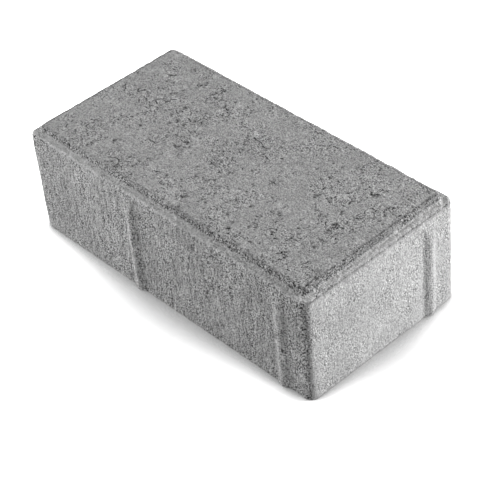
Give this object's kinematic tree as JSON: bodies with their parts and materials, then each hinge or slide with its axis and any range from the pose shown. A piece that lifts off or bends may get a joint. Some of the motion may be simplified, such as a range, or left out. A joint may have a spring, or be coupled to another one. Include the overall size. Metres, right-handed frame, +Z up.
{
  "type": "concrete paving stone",
  "caption": "Rectangular grey concrete block paver with a stepped edge round its wearing face and upright spacer ribs on its sides.",
  "frame": {"origin": "centre of the bed face, on the floor", "axes": "+X along the length, +Y across the width, +Z up to the wearing face"},
  "size_m": [0.204, 0.104, 0.065],
  "materials": {
    "concrete": "raw pressed concrete, matt, with fine sand grain, small pits and faint upright drag marks on the sides"
  },
  "bodies": {
    "root": {"paving_stone": "concrete"}
  },
  "joints": []
}
